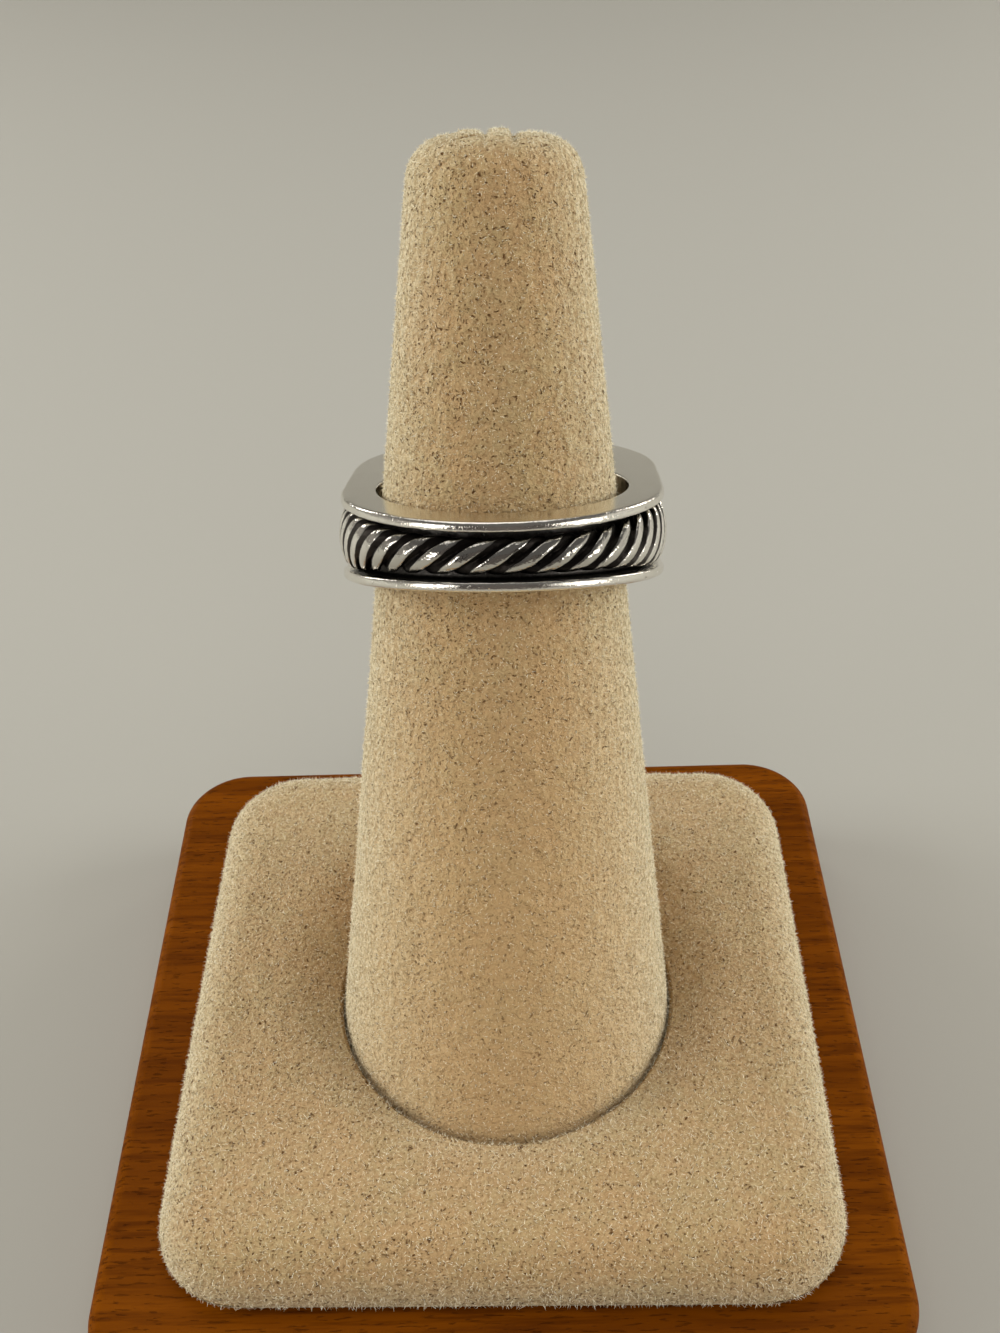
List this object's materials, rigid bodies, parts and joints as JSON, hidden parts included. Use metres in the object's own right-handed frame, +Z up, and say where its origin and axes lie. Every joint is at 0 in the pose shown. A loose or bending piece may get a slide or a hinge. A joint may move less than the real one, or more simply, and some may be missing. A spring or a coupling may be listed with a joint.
{
  "type": "citrine ring on a display finger stand",
  "caption": "Silver ring with a twisted wire in a dark channel and a bezel-set cushion citrine, on a leaning suede display finger with a square wooden base.",
  "frame": {"origin": "centre of the board's underside, where the stand rests", "axes": "+Z up; +Y towards the stone, the way the finger leans; +X to the right when the back of the shank is seen from the front of the stand"},
  "size_m": [0.057, 0.0623, 0.0716],
  "materials": {
    "stained_wood": "satin red-brown stain with a fine straight grain",
    "suede": "faux suede with short nap and small dark pores",
    "polished_silver": "polished silver, with a fine satin on the flat faces",
    "oxidised_silver": "silver, oxidised dark between polished strands",
    "citrine": "faceted and polished, golden orange"
  },
  "bodies": {
    "root": {"base_board": "stained_wood", "pad": "suede", "finger": "suede", "shank": "polished_silver", "twisted_wire": "oxidised_silver", "citrine": "citrine"}
  },
  "joints": []
}
